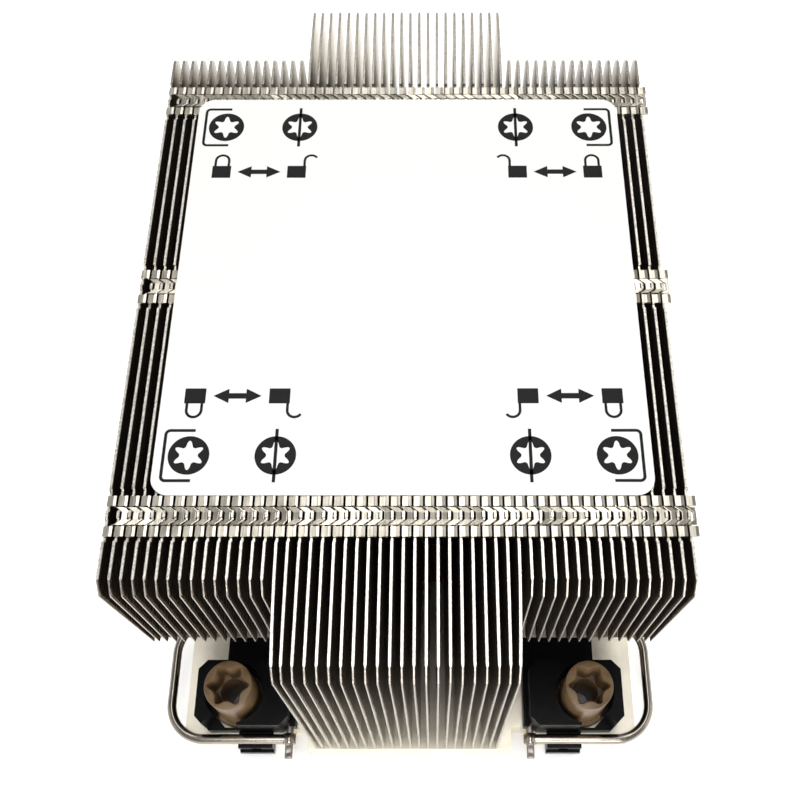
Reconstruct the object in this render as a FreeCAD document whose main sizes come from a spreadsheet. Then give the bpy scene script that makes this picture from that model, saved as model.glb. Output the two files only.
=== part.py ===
import FreeCAD, Part
import os
import Sketcher

# Passive CPU heatsink for a two-unit rack server, in millimetres.
# The row origin is the centre of the base's underside: +X runs across the fins, +Y along the
# air channels, +Z up. The four corners are alike, so each is made by a loop over two signs.

SIZES = [
    # fin stack
    ("fin_pitch", 1.5, "from one fin to the next, and the reach of its folded flanges"),
    ("fin_sheet", 0.4, "thickness of the fin sheet"),
    ("side_fins", 15, "short fins on each side"),
    ("centre_fins", 22, "long fins in the middle"),
    ("fin_top", 64.0, "height of the fins' top edges"),
    ("centre_reach", 56.6, "half length of the long fins"),
    ("side_reach", 45.7, "half length of the short fins"),
    ("overhang_height", 37.8, "underside of the short fins, over the corner wells"),
    ("corner_clip", 1.7, "bevel on the fins' top corners"),
    # folded zipper flanges
    ("zip_spacing", 35.4, "from one zipper line to the next along Y"),
    ("zip_length", 5.6, "length of a top flange along Y"),
    ("zip_foot", 1.4, "length of the two feet that carry a flange's bridge"),
    ("zip_bridge", 0.55, "width of the bridge between the feet, along X"),
    ("lower_zip_length", 3.6, "length of the flange under a short fin's end"),
    ("lower_zip_inset", 0.6, "that flange's distance from the fin's end"),
    # base
    ("deck_height", 7.0, "top of the base under the fins"),
    ("corner_height", 4.0, "top of the base in the corner wells"),
    ("tongue_margin", 0.8, "base beyond the long fins on each side"),
    ("corner_setback", 1.7, "corner wells' outer edge, in from the tongue's end"),
    ("neck_setback", 2.0, "deck beside the tongue, in from the corner wells' outer edge"),
    ("well_wall_gap", 0.5, "from the hinge rail to the well's wall"),
    ("base_round", 2.0, "radius of the base's corners"),
    ("block_width", 56.0, "copper contact block, across"),
    ("block_length", 60.0, "copper contact block, along"),
    ("block_height", 2.4, "copper contact block, thickness"),
    # heat pipes
    ("pipe_width", 7.0, "flattened heat pipe, across"),
    ("pipe_length", 70.0, "heat pipe, end to end"),
    ("pipe_margin", 6.0, "end of the block to the middle of the last heat pipe"),
    ("solder_gap", 0.05, "around a pipe or the block in its groove"),
    ("pipe_bevel", 1.0, "taper at a pipe's sealed ends"),
    # captive nuts
    ("nut_spacing_x", 59.3, "between nut axes, across"),
    ("nut_spacing_y", 96.3, "between nut axes, along"),
    ("nut_width", 7.9, "diameter of the nut's body"),
    ("nut_top", 18.0, "height of the nut's top"),
    ("nut_foot", 0.4, "height of the nut's lower end"),
    ("nut_thread", 4.0, "bore of the nut's thread"),
    ("nut_flange_width", 9.4, "diameter of the nut's captive flange"),
    ("nut_flange_height", 1.9, "thickness of the captive flange"),
    ("socket_width", 6.4, "driver socket, point to point"),
    ("socket_waist", 4.7, "driver socket, between the points"),
    ("socket_depth", 6.0, "driver socket, depth"),
    ("nut_play", 0.08, "radial running clearance of the nut in the base"),
    ("flange_play", 0.1, "clearance under the captive flange"),
    # corner housings
    ("wall_outer", 6.35, "nut axis to the collar's outer face"),
    ("wall_front", 5.35, "nut axis to the collar's front and back faces"),
    ("wall_inner", 9.35, "nut axis to the housing's inner face"),
    ("pin_line", 9.05, "nut axis to the hinge pin's axis"),
    ("rail_wall", 0.35, "thickness of the hinge rail beside the pin"),
    ("rail_front", 4.75, "nut axis to the hinge rail's front end"),
    ("tail_reach", 12.55, "nut axis to the housing's back face"),
    ("tail_outer", 2.4, "nut axis to the tail's outer face"),
    ("collar_height", 12.0, "top of the housing's collar"),
    ("tail_height", 7.0, "top of the housing's tail"),
    ("flange_clearance", 0.2, "radial room around the nut's flange"),
    ("shelf_clearance", 0.35, "from the nut's body and flange to the retaining shelf"),
    ("shelf_height", 1.5, "thickness of the retaining shelf"),
    ("collar_bevel", 1.5, "bevel on the collar's corners"),
    ("hook_inner", 3.1, "nut axis to the snap hook's centre, towards the middle"),
    ("hook_width", 5.9, "width of the snap hook"),
    ("hook_gap", 0.1, "between the base's edge and the hook"),
    ("hook_toe", 1.6, "how far the hook's lip stands out from the base's edge"),
    ("hook_step", 0.4, "how far the lip stands out past the hook's fingers"),
    ("hook_foot", 0.5, "height of the hook's lower end"),
    ("hook_lip", 2.0, "height of the lip that joins the fingers"),
    ("hook_slot", 1.6, "slot between the hook's two fingers"),
    # wire bails
    ("wire_width", 1.6, "diameter of the bail wire"),
    ("bail_reach", 20.8, "hinge pin to the bail's crossbar"),
    ("bail_bend", 6.0, "bend radius at the bail's corners"),
    ("bail_gap", 0.3, "from the bail to the housing and its rest"),
    ("well_clearance", 0.7, "from the bail to the well's back wall"),
    ("pin_width", 1.3, "diameter of the hinge pin"),
    ("pin_height", 5.6, "height of the hinge pin"),
    ("pin_nose", 4.5, "how far the pin stands out at the open end"),
    ("pin_tail", 2.1, "how far the pin stands out at the other end"),
    ("pin_play", 0.07, "radial running clearance of the bail on its pin"),
    ("pin_grip", 0.01, "radial clearance of the pin in its rail"),
    ("eye_width", 2.3, "outside width of the bail's eye"),
    ("eye_length", 1.8, "length of the bail's eye along the pin"),
    # label
    ("label_width", 67.2, "label, across the fins"),
    ("label_length", 68.0, "label, along the fins"),
    ("label_shift", 1.4, "label's centre, towards the back"),
    ("label_sheet", 0.15, "thickness of the label"),
    ("label_round", 2.5, "radius of the label's corners"),
    # small fits
    ("fin_setback", 0.7, "short fins' lower ends, in from the well's edge"),
    ("cut_over", 1.0, "how far a cut runs past the face that it opens"),
]

doc = FreeCAD.newDocument("heatsink")
sheet = doc.addObject("Spreadsheet::Sheet", "sizes")
for row, (alias, number, meaning) in enumerate(SIZES, start=1):
    sheet.set("A%d" % row, alias)
    sheet.set("B%d" % row, repr(number))
    sheet.set("C%d" % row, meaning)
    sheet.setAlias("B%d" % row, alias)
doc.recompute()


def size(alias):
    """Read one driving dimension back from the sheet."""
    return float(sheet.get(alias))


def bound(text):
    """Write an expression on the sheet's aliases in full, for setExpression."""
    words = text.split(" ")
    aliases = [entry[0] for entry in SIZES]
    return " ".join("<<sizes>>." + word if word in aliases else word for word in words)


# Derived places, each an expression on the driving dimensions.
STACK_HALF = "( ( 2 * side_fins + centre_fins ) * fin_pitch / 2 )"
TONGUE_HALF = "( centre_fins * fin_pitch / 2 + tongue_margin )"
NUT_X = "nut_spacing_x / 2"
NUT_Y = "nut_spacing_y / 2"
HOUSING_INNER = "( nut_spacing_x / 2 - wall_inner )"
HOUSING_BACK = "( nut_spacing_y / 2 - tail_reach )"
RAIL_INNER = "( pin_line + pin_width / 2 + rail_wall )"
WELL_INNER = "( nut_spacing_x / 2 - pin_line - pin_width / 2 - rail_wall - well_wall_gap )"
WELL_BACK = "( nut_spacing_y / 2 - tail_reach - bail_gap - eye_length - well_clearance )"
BAIL_FRONT = "( wall_front + bail_gap + eye_length / 2 )"
BAIL_BACK = "( tail_reach + bail_gap + eye_length / 2 )"
PIN_X = "( nut_spacing_x / 2 - pin_line )"
CORNER_REACH = "( centre_reach - corner_setback )"
NECK_REACH = "( centre_reach - corner_setback - neck_setback )"
BASE_EDGE = "( centre_reach - corner_setback - nut_spacing_y / 2 )"
PIPE_STEP = "( ( block_length - 2 * pipe_margin ) / 3 )"

TINY = 0.001
CORNERS = [("front_left", -1, -1), ("front_right", 1, -1), ("back_left", -1, 1), ("back_right", 1, 1)]


# ---------------------------------------------------------------- helpers

def attach(sketch, body, plane, lift="0"):
    """Seat a sketch on one of its own body's origin planes, lifted along the plane's normal."""
    origin_plane = [item for item in body.Origin.OriginFeatures if item.Role == plane][0]
    sketch.AttachmentSupport = [(origin_plane, "")]
    sketch.MapMode = "FlatFace"
    sketch.setExpression("AttachmentOffset.Base.z", bound(lift))


def new_body(label):
    body = doc.addObject("PartDesign::Body", label)
    body.Label = label
    return body


def held(sketch, constraints, texts):
    """Add constraints together, each with the sheet expression that drives it, if it has one."""
    numbers = sketch.addConstraint(constraints)
    for number, text in zip(numbers, texts):
        if text:
            sketch.setExpression("Constraints[%d]" % number, bound(text))


def outline(body, name, plane, loops, lift="0", closed=True):
    """A sketch of polygons, or of one open chain, whose corners sit at sheet expressions."""
    sketch = body.newObject("Sketcher::SketchObject", name)
    attach(sketch, body, plane, lift)
    lines = []
    constraints = []
    texts = []
    for corners in loops:
        first = len(lines)
        count = len(corners)
        ring = Part.makeCircle(10.0).discretize(count + 1)
        sides = count if closed else count - 1
        for index in range(sides):
            lines.append(Part.LineSegment(ring[index], ring[(index + 1) % count]))
        for index in range(sides if closed else sides - 1):
            following = first + (index + 1) % count
            constraints.append(Sketcher.Constraint("Coincident", first + index, 2, following, 1))
            texts.append("")
        for index, (across, up) in enumerate(corners):
            line, end = (first + index, 1) if index < sides else (first + index - 1, 2)
            constraints.append(Sketcher.Constraint("DistanceX", -1, 1, line, end, ring[index].x))
            constraints.append(Sketcher.Constraint("DistanceY", -1, 1, line, end, ring[index].y))
            texts += [across, up]
    sketch.addGeometry(lines, False)
    held(sketch, constraints, texts)
    return sketch


def circles(body, name, plane, rings, lift="0"):
    """A sketch of circles given by expressions (across, up, diameter)."""
    sketch = body.newObject("Sketcher::SketchObject", name)
    attach(sketch, body, plane, lift)
    for across, up, diameter in rings:
        start = Part.Circle(FreeCAD.Vector(1, 1, 0), FreeCAD.Vector(0, 0, 1), 3.0)
        circle = sketch.addGeometry(start, False)
        constraints = [
            Sketcher.Constraint("DistanceX", -1, 1, circle, 3, 1.0),
            Sketcher.Constraint("DistanceY", -1, 1, circle, 3, 1.0),
            Sketcher.Constraint("Diameter", circle, 6.0),
        ]
        held(sketch, constraints, [across, up, diameter])
    return sketch


def rectangle(low_x, high_x, low_y, high_y):
    return [(low_x, low_y), (high_x, low_y), (high_x, high_y), (low_x, high_y)]


def pad(body, sketch, length, downwards=False):
    feature = body.newObject("PartDesign::Pad", sketch.Name + "_pad")
    feature.Profile = sketch
    feature.setExpression("Length", bound(length))
    feature.Reversed = downwards
    body.Tip = feature
    return feature


def pocket(body, sketch, length, upwards=False):
    feature = body.newObject("PartDesign::Pocket", sketch.Name + "_pocket")
    feature.Profile = sketch
    feature.setExpression("Length", bound(length))
    feature.Reversed = upwards
    body.Tip = feature
    return feature


def upright_edges_at(feature, across, along):
    """Names of a feature's upright edges that stand at these distances from the middle."""
    names = []
    for number, edge in enumerate(feature.Shape.Edges, start=1):
        box = edge.BoundBox
        upright = box.XLength < TINY and box.YLength < TINY
        if upright and abs(abs(box.XMin) - across) < TINY and abs(abs(box.YMin) - along) < TINY:
            names.append("Edge%d" % number)
    return names


def signed(sign, text):
    return text if sign > 0 else "-1 * " + text


def place(item, x="0", y="0", z="0"):
    for axis, text in (("x", x), ("y", y), ("z", z)):
        item.setExpression("Placement.Base." + axis, bound(text))


subparts = []


# ---------------------------------------------------------------- base plate

def four_way(quarter):
    """Mirror one quadrant's outline into a closed outline about both axes."""
    corners = [(across, up) for across, up in quarter]
    corners += [(across, signed(-1, up)) for across, up in reversed(quarter)]
    corners += [(signed(-1, across), signed(-1, up)) for across, up in quarter]
    corners += [(signed(-1, across), up) for across, up in reversed(quarter)]
    return corners


base = new_body("base_plate")
plate_outline = four_way([
    (TONGUE_HALF, "centre_reach"),
    (TONGUE_HALF, NECK_REACH),
    (HOUSING_INNER, NECK_REACH),
    (HOUSING_INNER, CORNER_REACH),
    (STACK_HALF, CORNER_REACH),
])
plate = pad(base, outline(base, "plate_outline", "XY_Plane", [plate_outline]), "corner_height")
doc.recompute()
half_width = plate.Shape.BoundBox.XMax
rounded = base.newObject("PartDesign::Fillet", "plate_corners")
rounded.Base = (plate, upright_edges_at(plate, half_width, size("centre_reach") - size("corner_setback")))
rounded.setExpression("Radius", bound("base_round"))
base.Tip = rounded

deck_outline = four_way([
    (TONGUE_HALF, "centre_reach"),
    (TONGUE_HALF, NECK_REACH),
    (WELL_INNER, NECK_REACH),
    (WELL_INNER, WELL_BACK),
    (STACK_HALF, WELL_BACK),
])
pad(base, outline(base, "deck_outline", "XY_Plane", [deck_outline]), "deck_height")

nut_holes = [(signed(sx, NUT_X), signed(sy, NUT_Y), "nut_width + 2 * nut_play") for _, sx, sy in CORNERS]
pocket(base, circles(base, "nut_holes", "XY_Plane", nut_holes), "corner_height", upwards=True)

block_seat = rectangle(
    "-1 * ( block_width / 2 + solder_gap )", "block_width / 2 + solder_gap",
    "-1 * ( block_length / 2 + solder_gap )", "block_length / 2 + solder_gap",
)
pocket(base, outline(base, "block_seat", "XY_Plane", [block_seat]), "block_height", upwards=True)

PIPE_ROWS = [-1.5, -0.5, 0.5, 1.5]


def pipe_section(row, gap, rise):
    """Section of a flattened pipe, or of its channel, with bevelled lower corners."""
    middle = "%s * %s" % (row, PIPE_STEP)
    half = "( pipe_width / 2 + %s )" % gap
    bevel = "pipe_bevel"
    low = "block_height"
    top = "deck_height + %s" % rise
    return [
        ("%s - %s + %s" % (middle, half, bevel), low),
        ("%s + %s - %s" % (middle, half, bevel), low),
        ("%s + %s" % (middle, half), "%s + %s" % (low, bevel)),
        ("%s + %s" % (middle, half), top),
        ("%s - %s" % (middle, half), top),
        ("%s - %s" % (middle, half), "%s + %s" % (low, bevel)),
    ]


channels = [pipe_section(row, "solder_gap", "cut_over") for row in PIPE_ROWS]
grooves = outline(base, "pipe_grooves", "YZ_Plane", channels)
groove_cut = pocket(base, grooves, "pipe_length + 2 * solder_gap")
groove_cut.Midplane = True
subparts.append(base)

block = doc.addObject("Part::Box", "contact_block")
block.Label = "contact_block"
block.setExpression("Length", bound("block_width"))
block.setExpression("Width", bound("block_length"))
block.setExpression("Height", bound("block_height"))
place(block, "block_width / -2", "block_length / -2", "0")
subparts.append(block)

for number, row in enumerate(PIPE_ROWS, start=1):
    pipe = new_body("heat_pipe_%d" % number)
    section = outline(pipe, "pipe_section_%d" % number, "YZ_Plane", [pipe_section(row, "0", "0")])
    straight = pad(pipe, section, "pipe_length")
    straight.Midplane = True
    doc.recompute()
    reach = size("pipe_length") / 2
    ends = [
        "Edge%d" % index for index, edge in enumerate(straight.Shape.Edges, start=1)
        if edge.BoundBox.XLength < TINY and abs(abs(edge.BoundBox.XMin) - reach) < TINY
        and edge.BoundBox.ZMax < size("deck_height") - TINY
    ]
    taper = pipe.newObject("PartDesign::Chamfer", "pipe_end_%d" % number)
    taper.Base = (straight, ends)
    taper.setExpression("Size", bound("pipe_bevel / 2"))
    pipe.Tip = taper
    subparts.append(pipe)


# ---------------------------------------------------------------- fins

def zip_flange(centre):
    """Top view of one folded flange: two feet on the fin and a bridge that meets the next fin."""
    inner = "fin_pitch - zip_bridge"
    low = "%s - zip_length / 2" % centre
    high = "%s + zip_length / 2" % centre
    return [
        ("0", low), ("fin_pitch", low), ("fin_pitch", high), ("0", high),
        ("0", "%s - zip_foot" % high), (inner, "%s - zip_foot" % high),
        (inner, "%s + zip_foot" % low), ("0", "%s + zip_foot" % low),
    ]


ZIP_LINES = ["-1 * zip_spacing", "0", "zip_spacing"]


def web_outline(side):
    """Side view of a fin's flat sheet; a short fin is cut away over the corner wells."""
    reach = "side_reach" if side else "centre_reach"
    lower = "( %s - fin_setback )" % WELL_BACK
    half = [(reach, "fin_top - corner_clip"), ("%s - corner_clip" % reach, "fin_top")]
    if side:
        half = [(lower, "deck_height"), (lower, "overhang_height"), (reach, "overhang_height")] + half
    else:
        half = [(reach, "deck_height")] + half
    return half + [("-1 * ( %s )" % across, up) for across, up in reversed(half)]


def fin_blank(name, side):
    """One fin: a flat sheet in the YZ plane with its flanges folded over towards +X."""
    fin = new_body(name)
    pad(fin, outline(fin, name + "_sheet", "YZ_Plane", [web_outline(side)]), "fin_sheet")
    flanges = [zip_flange(centre) for centre in ZIP_LINES]
    pad(fin, outline(fin, name + "_zips", "XY_Plane", flanges, "fin_top"), "fin_sheet", downwards=True)
    if side:
        near = "( side_reach - lower_zip_inset - lower_zip_length )"
        far = "( side_reach - lower_zip_inset )"
        lower = [
            rectangle("0", "fin_pitch", near, far),
            rectangle("0", "fin_pitch", signed(-1, far), signed(-1, near)),
        ]
        pad(fin, outline(fin, name + "_lower_zips", "XY_Plane", lower, "overhang_height"), "fin_sheet")
    return fin


side_blank = fin_blank("side_fin_blank", side=True)
centre_blank = fin_blank("centre_fin_blank", side=False)
doc.recompute()


def fin_stack(label, blank, first, count):
    """A run of separate fins, copied from one blank at the fin pitch."""
    pitch = size("fin_pitch")
    left_edge = -pitch * (2 * size("side_fins") + size("centre_fins")) / 2
    fins = []
    for index in range(count):
        fin = blank.Shape.copy()
        fin.translate(FreeCAD.Vector(left_edge + pitch * (first + index), 0, 0))
        fins.append(fin)
    stack = doc.addObject("Part::Feature", label)
    stack.Label = label
    stack.Shape = Part.makeCompound(fins)
    subparts.append(stack)


side_count = int(size("side_fins"))
centre_count = int(size("centre_fins"))
fin_stack("left_fins", side_blank, 0, side_count)
fin_stack("centre_fins", centre_blank, side_count, centre_count)
fin_stack("right_fins", side_blank, side_count + centre_count, side_count)


# ---------------------------------------------------------------- captive nuts

def turned_ring(radius, sides, start=0):
    """A many-sided outline around the axis whose corners stand at one radius."""
    angles = ["%s deg" % (start + step * 360 / sides) for step in range(sides)]
    return [("%s * cos( %s )" % (radius, angle), "%s * sin( %s )" % (radius, angle)) for angle in angles]


def star(points):
    """A driver socket's star, its tips and waists in turn around the axis."""
    tips = turned_ring("socket_width / 2", points)
    waists = turned_ring("socket_waist / 2", points, 180 / points)
    return [corner for pair in zip(tips, waists) for corner in pair]


FLANGE_LOW = "corner_height + flange_play"
NUT_SIDES = 20

for corner, sx, sy in CORNERS:
    nut = new_body("nut_" + corner)
    barrel_ring = [turned_ring("nut_width / 2", NUT_SIDES)]
    flange_ring = [turned_ring("nut_flange_width / 2", NUT_SIDES)]
    pad(nut, outline(nut, "barrel_" + corner, "XY_Plane", barrel_ring, "nut_foot"), "nut_top - nut_foot")
    pad(nut, outline(nut, "flange_" + corner, "XY_Plane", flange_ring, FLANGE_LOW), "nut_flange_height")
    thread = circles(nut, "thread_" + corner, "XY_Plane", [("0", "0", "nut_thread")])
    pocket(nut, thread, "nut_top", upwards=True)
    socket = outline(nut, "socket_" + corner, "XY_Plane", [star(6)], "nut_top")
    pocket(nut, socket, "socket_depth")
    place(nut, signed(sx, NUT_X), signed(sy, NUT_Y))
    subparts.append(nut)


# ---------------------------------------------------------------- corner housings

HALF_SIDE = 180 / NUT_SIDES
SEAT_SIDES = 8
SEAT_TURN = 22.5
WINDOW_SIDES = [-1, 1, 3, 5]


def flats_of(radius, half_side):
    """Corner radius of an outline whose flats stand at the given radius."""
    return "( %s ) / cos( %s deg )" % (radius, half_side)


def polar(radius, angle, sx, sy):
    """A place at an angle from straight ahead of the nut, measured towards the housing's outer side."""
    return "%d * %s * sin( %s deg )" % (sx, radius, angle), "%d * %s * cos( %s deg )" % (sy, radius, angle)


def collar_window(sx, sy):
    """Plan of the gap in the collar's front wall and shelf, where the flange shows in front of the nut."""
    last, first = WINDOW_SIDES[-1], WINDOW_SIDES[0]
    outside = "( 1.5 * wall_front )"
    rim = [polar(outside, side * HALF_SIDE, sx, sy) for side in WINDOW_SIDES]
    return rim + [polar("( nut_width / 2 )", side * HALF_SIDE, sx, sy) for side in (last, first)]


def bevelled(inner, outer, step, front, sx, sy):
    """The collar's plan, a rectangle with its four corners cut at 45 degrees."""
    across = signed(sx, "collar_bevel")
    along = signed(sy, "collar_bevel")
    return [
        ("%s + %s" % (inner, across), step), ("%s - %s" % (outer, across), step),
        (outer, "%s + %s" % (step, along)), (outer, "%s - %s" % (front, along)),
        ("%s - %s" % (outer, across), front), ("%s + %s" % (inner, across), front),
        (inner, "%s - %s" % (front, along)), (inner, "%s + %s" % (step, along)),
    ]


SHELF_LOW = FLANGE_LOW + " + nut_flange_height + shelf_clearance"
SHELF_TOP = SHELF_LOW + " + shelf_height"
FLANGE_ROOM = flats_of("nut_flange_width / 2 + flange_clearance", HALF_SIDE)
BODY_ROOM = flats_of("nut_width / 2 + shelf_clearance", HALF_SIDE)
SEAT_ROOM = flats_of("nut_flange_width / 2 + flange_clearance", SEAT_TURN)
PIN_SIDES = 8
PIN_TURN = 22.5

for corner, sx, sy in CORNERS:
    housing = new_body("housing_" + corner)
    inner = signed(-sx, "wall_inner")
    outer = signed(sx, "wall_outer")
    front = signed(sy, "wall_front")
    back = signed(-sy, "tail_reach")
    step = signed(-sy, "wall_front")
    tail_plan = rectangle(inner, signed(sx, "tail_outer"), back, "0")
    tail = outline(housing, "tail_" + corner, "XY_Plane", [tail_plan], "corner_height")
    pad(housing, tail, "tail_height - corner_height")
    collar_plan = bevelled(inner, outer, step, front, sx, sy)
    collar = outline(housing, "collar_" + corner, "XY_Plane", [collar_plan], "corner_height")
    pad(housing, collar, "collar_height - corner_height")
    rail_plan = rectangle(signed(-sx, RAIL_INNER), signed(-sx, "pin_line"), back, signed(sy, "rail_front"))
    rail = outline(housing, "rail_" + corner, "XY_Plane", [rail_plan], "corner_height")
    pad(housing, rail, "tail_height - corner_height")
    well_ring = turned_ring(FLANGE_ROOM, NUT_SIDES, HALF_SIDE)
    well = outline(housing, "collar_well_" + corner, "XY_Plane", [well_ring], "collar_height")
    pocket(housing, well, "collar_height - ( %s )" % SHELF_TOP)
    seat_ring = turned_ring(SEAT_ROOM, SEAT_SIDES, SEAT_TURN)
    seat = outline(housing, "nut_seat_" + corner, "XY_Plane", [seat_ring], "corner_height")
    pocket(housing, seat, "%s - corner_height" % SHELF_LOW, upwards=True)
    neck_ring = turned_ring(BODY_ROOM, NUT_SIDES, HALF_SIDE)
    neck = outline(housing, "shelf_neck_" + corner, "XY_Plane", [neck_ring], SHELF_TOP)
    pocket(housing, neck, "shelf_height")
    window = outline(housing, "collar_window_" + corner, "XY_Plane", [collar_window(sx, sy)], "collar_height")
    pocket(housing, window, "collar_height - ( %s )" % SHELF_LOW)
    bore_ring = [
        ("%s + %s" % (signed(-sx, "pin_line"), across), "pin_height + " + up)
        for across, up in turned_ring(flats_of("pin_width / 2 + pin_grip", PIN_TURN), PIN_SIDES, PIN_TURN)
    ]
    pin_bore = outline(housing, "pin_bore_" + corner, "XZ_Plane", [bore_ring])
    bore_cut = pocket(housing, pin_bore, "4 * tail_reach")
    bore_cut.Midplane = True
    hook_top = "( pin_height - wire_width / 2 - bail_gap )"
    low_side, high_side, slot_low, slot_high = [
        "%s %s" % (signed(-sx, "hook_inner"), shift)
        for shift in ("- hook_width / 2", "+ hook_width / 2", "- hook_slot / 2", "+ hook_slot / 2")
    ]
    edge = signed(sy, "( %s + hook_gap )" % BASE_EDGE)
    fingers_end = signed(sy, "( %s + hook_toe - hook_step )" % BASE_EDGE)
    lip_end = signed(sy, "( %s + hook_toe )" % BASE_EDGE)
    hook_plans = [
        ("strap", [rectangle(low_side, high_side, front, fingers_end)], "corner_height", hook_top),
        ("fingers", [rectangle(low_side, slot_low, edge, fingers_end),
                     rectangle(slot_high, high_side, edge, fingers_end)], "hook_lip", hook_top),
        ("lip", [rectangle(low_side, high_side, edge, lip_end)], "hook_foot", "hook_lip"),
    ]
    for name, plan, low, top in hook_plans:
        hook = outline(housing, "hook_%s_%s" % (name, corner), "XY_Plane", plan, low)
        pad(housing, hook, "%s - %s" % (top, low))
    place(housing, signed(sx, NUT_X), signed(sy, NUT_Y))
    subparts.append(housing)


# ---------------------------------------------------------------- hinge pins and wire bails

BEND_STEPS = 4


def bail_points(sx, sy):
    """The bail's centre line from above: arm, bend, crossbar, bend and arm, as places."""
    near = signed(-sx, "pin_line")
    turn = signed(sx, "( bail_reach - pin_line - bail_bend )")
    front_centre = signed(sy, "( %s - bail_bend )" % BAIL_FRONT)
    back_centre = signed(-sy, "( %s - bail_bend )" % BAIL_BACK)
    points = [(near, signed(sy, BAIL_FRONT))]
    for step in range(BEND_STEPS + 1):
        angle = "%s deg" % (90 - step * 90 / BEND_STEPS)
        across = "%s + %d * bail_bend * cos( %s )" % (turn, sx, angle)
        points.append((across, "%s + %d * bail_bend * sin( %s )" % (front_centre, sy, angle)))
    for step in range(BEND_STEPS + 1):
        angle = "%s deg" % (step * 90 / BEND_STEPS)
        across = "%s + %d * bail_bend * cos( %s )" % (turn, sx, angle)
        points.append((across, "%s - %d * bail_bend * sin( %s )" % (back_centre, sy, angle)))
    points.append((near, signed(-sy, BAIL_BACK)))
    return points


for corner, sx, sy in CORNERS:
    pin = doc.addObject("Part::Cylinder", "pin_" + corner)
    pin.setExpression("Radius", bound("pin_width / 2"))
    pin.setExpression("Height", bound("wall_front + tail_reach + pin_tail + pin_nose"))
    pin.Placement.Rotation = FreeCAD.Rotation(FreeCAD.Vector(-sy, 0, 0), 90)
    place(pin, signed(sx, PIN_X), signed(sy, "( %s - pin_tail )" % HOUSING_BACK), "pin_height")
    pin.Label = "hinge_pin_" + corner
    subparts.append(pin)

    bail = new_body("wire_bail_" + corner)
    centre_line = [bail_points(sx, sy)]
    spine = outline(bail, "bail_path_" + corner, "XY_Plane", centre_line, "pin_height", closed=False)
    hinge_x = signed(-sx, "pin_line")
    wire_ring = [
        ("%s + %s" % (signed(sy, BAIL_FRONT), across), "pin_height + " + up)
        for across, up in turned_ring(flats_of("wire_width / 2", PIN_TURN), PIN_SIDES, PIN_TURN)
    ]
    section = outline(bail, "wire_section_" + corner, "YZ_Plane", [wire_ring], hinge_x)
    wire = bail.newObject("PartDesign::AdditivePipe", "wire_" + corner)
    wire.Profile = section
    wire.Spine = spine
    wire.Transition = "Right corner"
    bail.Tip = wire
    eye_rings = {}
    for use, radius in (("outside", "eye_width / 2"), ("bore", "pin_width / 2 + pin_play")):
        eye_rings[use] = [
            ("%s + %s" % (hinge_x, across), "pin_height + " + up)
            for across, up in turned_ring(flats_of(radius, PIN_TURN), PIN_SIDES, PIN_TURN)
        ]
    for end, arm_y in (("front", signed(-sy, BAIL_FRONT)), ("back", signed(sy, BAIL_BACK))):
        eye = outline(bail, "eye_%s_%s" % (end, corner), "XZ_Plane", [eye_rings["outside"]], arm_y)
        eye_pad = pad(bail, eye, "eye_length")
        eye_pad.Midplane = True
    bore = outline(bail, "eye_bore_" + corner, "XZ_Plane", [eye_rings["bore"]])
    bore_cut = pocket(bail, bore, "4 * tail_reach")
    bore_cut.Midplane = True
    place(bail, signed(sx, NUT_X), signed(sy, NUT_Y))
    subparts.append(bail)


# ---------------------------------------------------------------- label

label_box = doc.addObject("Part::Box", "label_sheet")
label_box.setExpression("Length", bound("label_width"))
label_box.setExpression("Width", bound("label_length"))
label_box.setExpression("Height", bound("label_sheet"))
place(label_box, "label_width / -2", "label_length / -2 + label_shift", "fin_top")
doc.recompute()
label = doc.addObject("Part::Fillet", "label")
label.Base = label_box
label_edges = [
    (index, size("label_round"), size("label_round"))
    for index, edge in enumerate(label_box.Shape.Edges, start=1) if edge.BoundBox.ZLength > 0.01
]
label.Edges = label_edges
label.Label = "top_label"
subparts.append(label)


# ---------------------------------------------------------------- check and write

doc.recompute()
for item in doc.Objects:
    if "Invalid" in item.State or "Error" in item.State:
        raise RuntimeError("%s did not build: %s" % (item.Label, item.State))
for item in subparts:
    if item.Shape.isNull() or not item.Shape.isValid():
        raise RuntimeError("%s has no valid shape" % item.Label)

os.makedirs("parts", exist_ok=True)
for item in subparts:
    item.Shape.exportStep("parts/%s.step" % item.Label)
    print("%-26s %3d solids %10.2f mm3" % (item.Label, len(item.Shape.Solids), item.Shape.Volume))
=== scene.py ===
"""Looks of a passive processor heatsink, laid out as a Blender add-on and run as a script."""

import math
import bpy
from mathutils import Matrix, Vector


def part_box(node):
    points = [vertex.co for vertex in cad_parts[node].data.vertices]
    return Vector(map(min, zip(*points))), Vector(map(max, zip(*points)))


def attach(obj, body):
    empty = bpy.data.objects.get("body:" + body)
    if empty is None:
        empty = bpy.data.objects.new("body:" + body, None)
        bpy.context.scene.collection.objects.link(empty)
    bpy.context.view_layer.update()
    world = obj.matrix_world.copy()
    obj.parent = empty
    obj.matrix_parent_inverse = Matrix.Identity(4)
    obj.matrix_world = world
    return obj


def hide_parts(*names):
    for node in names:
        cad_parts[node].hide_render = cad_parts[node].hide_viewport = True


bl_info = {
    "name": "Passive Processor Heatsink",
    "version": (1, 0, 0),
    "blender": (4, 5, 0),
    "location": "3D View > Sidebar > Heatsink",
    "description": "Zipped fins, captive nuts, wire bails, label and finishes of a server heatsink",
    "category": "Object",
}

import bpy
import numpy as np
from mathutils import Matrix, Vector

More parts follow.
